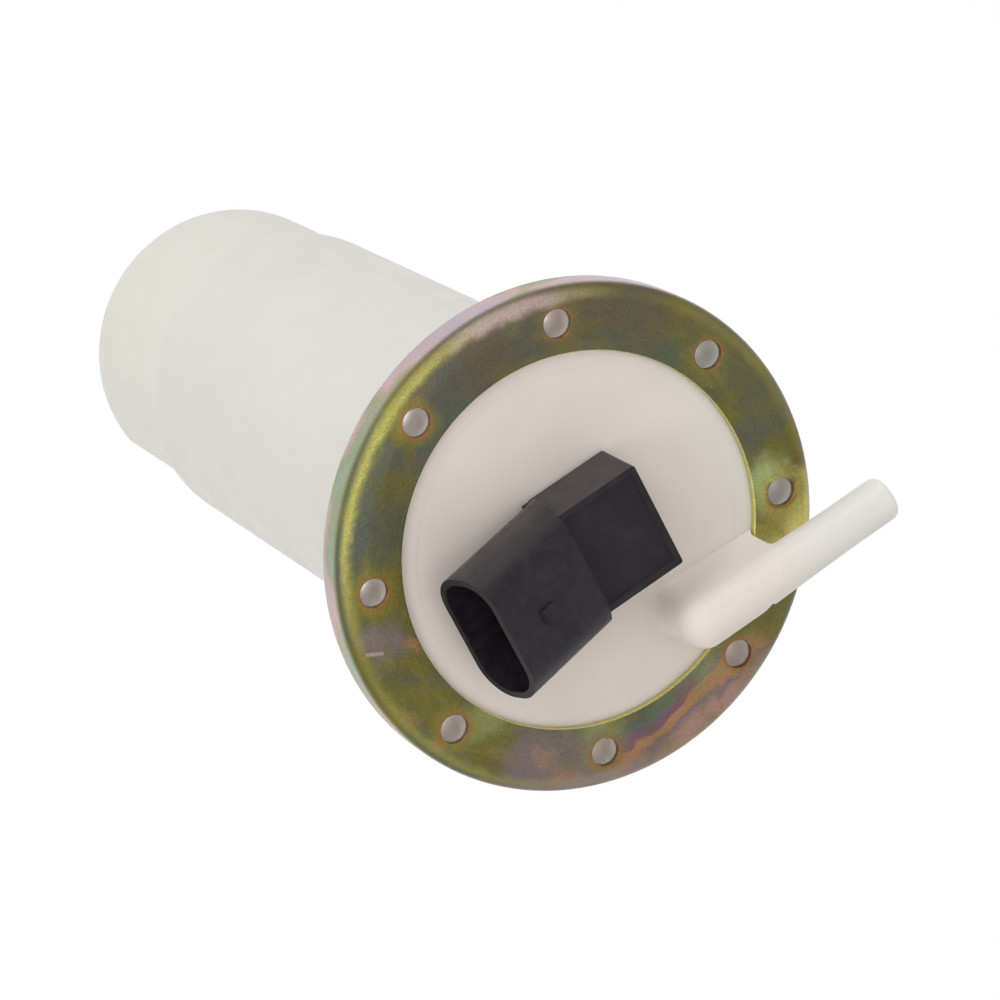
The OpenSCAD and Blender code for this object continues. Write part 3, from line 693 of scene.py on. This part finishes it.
class StageLooks(bpy.types.PropertyGroup):
    camera_place: bpy.props.FloatVectorProperty(
        name="Camera", description="Where the camera stands", subtype="XYZ", unit="LENGTH",
        default=(-181.625 * MM, 318.365 * MM, 660.588 * MM))
    camera_turn: bpy.props.FloatVectorProperty(
        name="Camera turn", description="How the camera is turned", subtype="EULER",
        default=tuple(math.radians(angle) for angle in (-14.5372, -24.1736, -28.0590)))
    camera_lens: bpy.props.FloatProperty(name="Lens", description="Focal length in mm on a 36 mm frame",
                                         default=145.443)
    ambient: bpy.props.FloatProperty(name="Ambient", description="Strength of the light from all round",
                                     default=0.745)
    key_power: bpy.props.FloatProperty(name="Key", description="Power of each soft key lamp",
                                       default=1.35, unit="POWER")
    front_power: bpy.props.FloatProperty(name="Front", description="Power of the soft front lamp",
                                         default=1.5, unit="POWER")


# Operators

class MakeStage(bpy.types.Operator):
    """Makes the camera, lamps, world and floor"""
    bl_idname = "sender.stage"
    bl_label = "Stage"

    def execute(self, context):
        looks = context.scene.sender_stage
        lens = bpy.data.cameras.new("camera")
        lens.lens = looks.camera_lens
        lens.sensor_width = 36
        camera = bpy.data.objects.new("camera", lens)
        camera.location = looks.camera_place
        camera.rotation_euler = looks.camera_turn
        context.scene.collection.objects.link(camera)
        context.scene.camera = camera
        middle = Vector((0, 0, RING_TOP))
        # each lamp stands at an angle round the tube's axis and a height above the ring's plane
        for name, round_axis, height, distance, width, power in (
                ("key_left", 164, 34, 0.95, 0.34, looks.key_power),
                ("key_middle", 116, 24, 0.95, 0.28, looks.key_power),
                ("key_right", 74, 20, 0.95, 0.34, looks.key_power),
                ("front", 118, 74, 1.00, 0.50, looks.front_power)):
            lamp = bpy.data.lights.new(name, "AREA")
            lamp.shape = "SQUARE"
            lamp.size = width
            lamp.energy = power
            stand = bpy.data.objects.new(name, lamp)
            around = math.radians(round_axis)
            up = math.radians(height)
            level = Vector((math.cos(around), math.sin(around), 0))
            direction = level * math.cos(up) + Vector((0, 0, math.sin(up)))
            stand.location = middle + direction * distance
            stand.rotation_euler = direction.to_track_quat("Z", "Y").to_euler()
            context.scene.collection.objects.link(stand)
        self.make_world(context.scene, looks.ambient)
        self.make_floor(context.scene)
        context.scene.view_settings.view_transform = "Standard"
        return {"FINISHED"}

    def seen_rays(self, tree):
        """1 where a camera, mirror or glass ray lands, and 0 for the light that falls on the object."""
        path = tree.nodes.new("ShaderNodeLightPath")
        total = path.outputs["Is Camera Ray"]
        for other in ("Is Glossy Ray", "Is Transmission Ray"):
            larger = tree.nodes.new("ShaderNodeMath")
            larger.operation = "MAXIMUM"
            tree.links.new(total, larger.inputs[0])
            tree.links.new(path.outputs[other], larger.inputs[1])
            total = larger.outputs[0]
        return total

    def make_world(self, scene, ambient):
        world = bpy.data.worlds.new("studio")
        world.use_nodes = True
        scene.world = world
        tree = world.node_tree
        around = tree.nodes["Background"]
        around.inputs["Color"].default_value = (1.0, 1.0, 1.0, 1.0)
        strength = tree.nodes.new("ShaderNodeMapRange")
        strength.inputs["To Min"].default_value = ambient
        strength.inputs["To Max"].default_value = 1.0
        tree.links.new(self.seen_rays(tree), strength.inputs["Value"])
        tree.links.new(strength.outputs["Result"], around.inputs["Strength"])

    def make_floor(self, scene):
        """Lays a wide floor just under the object. It looks white and keeps the object's shadow."""
        just_under = CAD_BOX[0].z - 0.5 * MM
        bm = bmesh.new()
        bmesh.ops.create_grid(bm, x_segments=1, y_segments=1, size=4.0)
        bmesh.ops.translate(bm, verts=bm.verts, vec=(0, 0, just_under))
        mesh = bpy.data.meshes.new("floor")
        bm.to_mesh(mesh)
        bm.free()
        paper = bpy.data.materials.new("floor_paper")
        paper.use_nodes = True
        tree = paper.node_tree
        surface = tree.nodes["Principled BSDF"]
        surface.inputs["Base Color"].default_value = (0.82, 0.82, 0.82, 1.0)
        surface.inputs["Roughness"].default_value = 0.9
        shine = tree.nodes.new("ShaderNodeEmission")
        blend = tree.nodes.new("ShaderNodeMixShader")
        tree.links.new(self.seen_rays(tree), blend.inputs[0])
        tree.links.new(surface.outputs[0], blend.inputs[1])
        tree.links.new(shine.outputs[0], blend.inputs[2])
        tree.links.new(blend.outputs[0], tree.nodes["Material Output"].inputs["Surface"])
        mesh.materials.append(paper)
        floor = bpy.data.objects.new("floor", mesh)
        scene.collection.objects.link(floor)


class MakeRing(bpy.types.Operator):
    """Makes the plated clamp ring"""
    bl_idname = "sender.ring"
    bl_label = "Clamp ring"

    def execute(self, context):
        looks = context.scene.sender_zinc
        # the upper edges are rounded: the one round the lid by more than those of the bolt holes
        upper = LID_TOP + 0.5 * MM
        opening = RING_OPENING + 0.3 * MM
        rounded_node("clamp_ring", "ring", plating(looks), SENDER, [
            (looks.opening_edge, lambda middle: middle.z > upper and middle.xy.length < opening),
            (looks.hole_edge, lambda middle: middle.z > upper and middle.xy.length > opening)])
        return {"FINISHED"}


class MakeLid(bpy.types.Operator):
    """Makes the lid, and its boss and fuel nipple with soft moulded corners"""
    bl_idname = "sender.lid"
    bl_label = "Lid and nipple"

    def execute(self, context):
        looks = context.scene.sender_plastic
        plate = solid_copy("lid")
        just_above = LID_TOP + 0.02 * MM
        cut_off(plate, just_above, keep_above=False)
        bmesh.ops.triangle_fill(plate, use_beauty=True, edges=open_edges(plate))
        self.shallow_groove(plate, looks.groove_depth)
        block = block_from("lid_plate", plate)
        nipple = block_from("nipple", self.soft_nipple(looks))
        join = block.modifiers.new("join", "BOOLEAN")
        join.operation = "UNION"
        join.solver = "EXACT"
        join.object = nipple
        white = pale_plastic("lid_plastic", looks.lid_white, 0.95, looks, looks.lid_glow,
                             looks.nipple_white)
        piece = new_piece("lid_moulding", worked(block), white, SENDER)
        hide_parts("lid")
        bpy.data.objects.remove(nipple)
        return {"FINISHED"}

    def shallow_groove(self, bm, depth):
        """Lifts the floor of the fine groove on the lid's face."""
        for vert in bm.verts:
            on_floor = 0.1 * MM < LID_TOP - vert.co.z < 0.5 * MM
            if on_floor and GROOVE_INNER < vert.co.xy.length < GROOVE_OUTER:
                vert.co.z = LID_TOP - depth

    def soft_nipple(self, looks):
        """The boss and nipple, with a fillet round the boss's foot and the creases rounded off."""
        bm = solid_copy("lid")
        foot = looks.boss_foot
        skirt = foot + 0.9 * MM
        skirt_top = -0.07 * MM
        skirt_root = -0.8 * MM
        reach = RING_OPENING - 0.1 * MM
        smoothings = 6
        cut_off(bm, LID_TOP + foot, keep_above=True)
        fuel_way, outline = sorted(edge_loops(open_edges(bm)),
                                   key=lambda loop: sum(edge.calc_length() for edge in loop))
        bmesh.ops.edgeloop_fill(bm, edges=fuel_way)
        # each corner of the outline, with the way its foot reaches out and the room it has
        corners = {}
        for vert in {vert for edge in outline for vert in edge.verts}:
            facing = sum((face.normal for face in vert.link_faces), Vector()).xy.normalized()
            room = max(0.0, reach - vert.co.xy.length)
            corners[tuple(vert.co)] = (vert.co.xy.copy(), facing, room)
        # the foot curves out to the lid's face, and a skirt under it roots it in the plate
        steps = [math.radians(angle) for angle in (22.5, 45, 67.5, 85)]
        profile = [(foot * (1 - math.cos(step)), foot * (1 - math.sin(step))) for step in steps]
        loop = outline
        for spread, height in [*profile, (skirt, skirt_top), (skirt, skirt_root)]:
            grown = bmesh.ops.extrude_edge_only(bm, edges=loop)["geom"]
            loop = [part for part in grown if isinstance(part, bmesh.types.BMEdge)]
            moved = {}
            for vert in (part for part in grown if isinstance(part, bmesh.types.BMVert)):
                base, facing, room = corners[tuple(vert.co)]
                vert.co = (*(base + facing * min(spread, room)), LID_TOP + height)
                moved[tuple(vert.co)] = (base, facing, room)
            corners = moved
        bmesh.ops.triangle_fill(bm, use_beauty=True, edges=loop)
        bmesh.ops.recalc_face_normals(bm, faces=bm.faces)
        block = block_from("nipple_rough", bm)
        grid = block.modifiers.new("grid", "REMESH")
        grid.mode = "VOXEL"
        grid.voxel_size = looks.nipple_grid
        soft = worked(block)
        for _ in range(smoothings):
            bmesh.ops.smooth_vert(soft, verts=soft.verts, factor=0.5, use_axis_x=True, use_axis_y=True,
                                  use_axis_z=True)
        return soft


class MakeTube(bpy.types.Operator):
    """Makes the tube and the cup, evenly shaded"""
    bl_idname = "sender.tube"
    bl_label = "Tube and cup"

    def execute(self, context):
        looks = context.scene.sender_plastic
        white = pale_plastic("tube_plastic", looks.tube_white, 0.985, looks, looks.tube_glow)
        rounded_node("outer_tube", "tube", white, SENDER, [])
        rounded_node("end_cup", "cup", white, SENDER, [])
        return {"FINISHED"}


class MakeSocket(bpy.types.Operator):
    """Makes the black box with its plug shroud and resin"""
    bl_idname = "sender.socket"
    bl_label = "Plug socket"

    def execute(self, context):
        looks = context.scene.sender_plastic
        bm = solid_copy("connector_housing")
        self.score_shroud(bm, looks.collar, looks.collar_depth)
        # the edges above the lid are rounded, but not those deep in the box
        above = LID_TOP + 0.3 * MM
        reach = 9 * MM
        round_edges(bm, sharp_edges(bm, lambda middle: middle.z > above and abs(self.skin(middle)) < reach),
                    looks.box_edge)
        # the cavity's faces have the finish without the painted side light
        for face in bm.faces:
            middle = face.calc_center_median()
            back = (MOUTH - middle).dot(OUT_OF_MOUTH)
            if -0.1 * MM < back < CAVITY_DEPTH and self.skin(middle) < -0.15 * SHROUD_WALL:
                face.material_index = 1
        piece = new_piece("socket_housing", bm, black_plastic(looks), SENDER)
        piece.data.materials.append(black_plastic(looks, painted_sides=False))
        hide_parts("connector_housing")
        self.pour_resin(looks)
        brass = metal("blade_brass", (0.75, 0.56, 0.25), 0.22, (1, 1, 0.1))
        for name in ("terminal_signal", "terminal_ground", "terminal_warning"):
            dress(name, brass)
        dress("connector_screws", metal("screw_steel", (0.55, 0.55, 0.56), 0.3))
        return {"FINISHED"}

    def skin(self, place):
        """How far a place lies outside the shroud's outer skin, seen along its axis."""
        away = place - MOUTH
        corner = Vector((abs(away.y), abs(away.dot(OVER_MOUTH)))) - SHROUD_HALF
        corner += Vector((SHROUD_ROUND, SHROUD_ROUND))
        outer = Vector((max(corner.x, 0), max(corner.y, 0)))
        return outer.length + min(max(corner.x, corner.y), 0) - SHROUD_ROUND

    def score_shroud(self, bm, collar, depth):
        """Scores the fine line round the shroud's skin, a collar's width from its rear edge."""
        half_width = 0.25 * MM
        for offset in (-half_width, 0, half_width):
            back = SHROUD_LENGTH - collar + offset
            skin = [face for face in bm.faces if abs(self.skin(face.calc_center_median())) < 0.3 * MM]
            edges = dict.fromkeys(edge for face in skin for edge in face.edges)
            verts = dict.fromkeys(vert for face in skin for vert in face.verts)
            bmesh.ops.bisect_plane(bm, geom=[*skin, *edges, *verts], dist=NEAR_CUT,
                                   plane_co=MOUTH - OUT_OF_MOUTH * back, plane_no=OUT_OF_MOUTH)
        bm.normal_update()
        line = []
        for vert in bm.verts:
            back = (MOUTH - vert.co).dot(OUT_OF_MOUTH)
            if abs(back - SHROUD_LENGTH + collar) < WELD and abs(self.skin(vert.co)) < 0.05 * MM:
                line.append((vert, vert.normal.copy()))
        for vert, outward in line:
            vert.co -= outward * depth

    def pour_resin(self, looks):
        """The resin, sunk a little towards its middle, with a lip where it wets the box's wall."""
        bm = solid_copy("connector_potting")
        top = max(bm.faces, key=lambda face: face.calc_center_median().z)
        for width, drop in ((0.25 * MM, 0.10 * MM), (0.6 * MM, 0.07 * MM)):
            bmesh.ops.inset_individual(bm, faces=[top], thickness=width, depth=-drop)
        piece = new_piece("resin", bm, resin(looks), SENDER)
        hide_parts("connector_potting")


class MakeSeals(bpy.types.Operator):
    """Finishes the gasket and the two inner seals"""
    bl_idname = "sender.seals"
    bl_label = "Seals"

    def execute(self, context):
        black = rubber()
        for name in ("flange_gasket", "stem_seal", "connector_seal"):
            dress(name, black)
        return {"FINISHED"}


class MakeInlet(bpy.types.Operator):
    """Makes the inlet's frame and its woven wire screen"""
    bl_idname = "sender.inlet"
    bl_label = "Inlet"

    def execute(self, context):
        looks = context.scene.sender_plastic
        rounded_node("inlet_frame", "inlet_rim", smooth_colour("inlet_black", looks.nylon, 0.45), SENDER,
                     [(0.2 * MM, lambda middle: True)])
        low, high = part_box("inlet_mesh")
        middle = (low + high) / 2
        facing = Vector((middle.x, middle.y, 0)).normalized()
        turn = Matrix.Translation(middle) @ facing.to_track_quat("X", "Z").to_matrix().to_4x4()
        tall = high.z - low.z
        # the node is a thin upright plate, so its box gives its width over the corner
        wide = (high - low).xy.length
        bm = bmesh.new()
        self.weave(bm, looks, wide, tall, upright=True)
        self.weave(bm, looks, tall, wide, upright=False)
        bmesh.ops.transform(bm, matrix=turn, verts=bm.verts)
        bmesh.ops.recalc_face_normals(bm, faces=bm.faces)
        piece = new_piece("inlet_screen", bm, metal("screen_steel", (0.5, 0.5, 0.5), 0.3), SENDER)
        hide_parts("inlet_mesh")
        return {"FINISHED"}

    def weave(self, bm, looks, across, along, upright):
        """Wires side by side across a width, each bent over and under the ones that cross it."""
        count = int(across / looks.mesh_pitch)
        cuts = int(along / looks.mesh_pitch) * 2
        for number in range(count):
            place = (number - (count - 1) / 2) * looks.mesh_pitch
            others = set(bm.verts)
            wire = bmesh.ops.create_cube(bm, size=1.0)["verts"]
            bmesh.ops.scale(bm, verts=wire, vec=(looks.mesh_wire, looks.mesh_wire, along))
            lengths = dict.fromkeys(edge for vert in wire for edge in vert.link_edges
                                    if abs(edge.verts[0].co.z - edge.verts[1].co.z) > along / 2)
            bmesh.ops.subdivide_edges(bm, edges=list(lengths), cuts=cuts, use_grid_fill=True)
            parts = [vert for vert in bm.verts if vert not in others]
            side = 1 if (number % 2 == 0) == upright else -1
            for vert in parts:
                wave = math.cos(math.pi * vert.co.z / looks.mesh_pitch)
                vert.co.x += wave * side * looks.mesh_wire / 2
                vert.co.y += place
            if not upright:
                quarter = Matrix.Rotation(math.pi / 2, 3, "X")
                bmesh.ops.rotate(bm, verts=parts, cent=(0, 0, 0), matrix=quarter)


class MakeStem(bpy.types.Operator):
    """Finishes the stem, its plug and its stops"""
    bl_idname = "sender.stem"
    bl_label = "Stem and stops"

    def execute(self, context):
        steel = metal("stem_steel", (0.58, 0.58, 0.60), 0.25, (1, 1, 0.05))
        for name in ("guide_stem", "upper_stop", "lower_stop"):
            dress(name, steel)
        dress("stem_plug", smooth_colour("plug_black", (0.02, 0.02, 0.02), 0.5))
        return {"FINISHED"}


class MakeSensor(bpy.types.Operator):
    """Finishes the board, its switches and resistors and the leads"""
    bl_idname = "sender.sensor"
    bl_label = "Sensor board"

    def execute(self, context):
        dress("sensor_board", smooth_colour("solder_mask", (0.02, 0.13, 0.05), 0.35))
        dress("reed_switches", glass())
        dress("resistors", smooth_colour("resistor_black", (0.015, 0.015, 0.018), 0.4))
        dress("lead_wires", smooth_colour("lead_red", (0.35, 0.012, 0.01), 0.35, 0.8))
        return {"FINISHED"}


class MakeFloat(bpy.types.Operator):
    """Finishes the float, its magnet and its cap"""
    bl_idname = "sender.float"
    bl_label = "Float"

    def execute(self, context):
        looks = context.scene.sender_plastic
        dress("float_body", smooth_colour("float_foam", (0.02, 0.02, 0.022), 0.7, 1.8, 0.8))
        dress("float_magnet", smooth_colour("ferrite", (0.05, 0.05, 0.055), 0.5, 1.4, 2.0))
        white = pale_plastic("cap_plastic", looks.lid_white, 0.95, looks, looks.tube_glow)
        dress("float_cap", white)
        return {"FINISHED"}


class MakePickup(bpy.types.Operator):
    """Finishes the pickup tube and its strainer"""
    bl_idname = "sender.pickup"
    bl_label = "Pickup"

    def execute(self, context):
        looks = context.scene.sender_plastic
        white = pale_plastic("pickup_plastic", looks.tube_white, 0.95, looks, looks.tube_glow)
        dress("pickup_tube", white)
        dress("pickup_strainer", cloth())
        return {"FINISHED"}


STEPS = (MakeStage, MakeRing, MakeLid, MakeTube, MakeSocket, MakeSeals, MakeInlet, MakeStem, MakeSensor,
         MakeFloat, MakePickup)


class SenderPanel(bpy.types.Panel):
    """Lists what makes the sending unit"""
    bl_idname = "VIEW3D_PT_sender"
    bl_label = "Sending unit"
    bl_space_type = "VIEW_3D"
    bl_region_type = "UI"
    bl_category = "Sender"

    def draw(self, context):
        for step in STEPS:
            self.layout.operator(step.bl_idname)
        for group in (context.scene.sender_zinc, context.scene.sender_plastic, context.scene.sender_stage):
            for name in group.__annotations__:
                self.layout.prop(group, name)


CLASSES = (ZincLooks, PlasticLooks, StageLooks, *STEPS, SenderPanel)


def register():
    for kind in CLASSES:
        bpy.utils.register_class(kind)
    bpy.types.Scene.sender_zinc = bpy.props.PointerProperty(type=ZincLooks)
    bpy.types.Scene.sender_plastic = bpy.props.PointerProperty(type=PlasticLooks)
    bpy.types.Scene.sender_stage = bpy.props.PointerProperty(type=StageLooks)


def unregister():
    del bpy.types.Scene.sender_stage
    del bpy.types.Scene.sender_plastic
    del bpy.types.Scene.sender_zinc
    for kind in reversed(CLASSES):
        bpy.utils.unregister_class(kind)


def main():
    register()
    for step in STEPS:
        group, name = step.bl_idname.split(".")
        getattr(getattr(bpy.ops, group), name)()


if __name__ == "__main__":
    main()
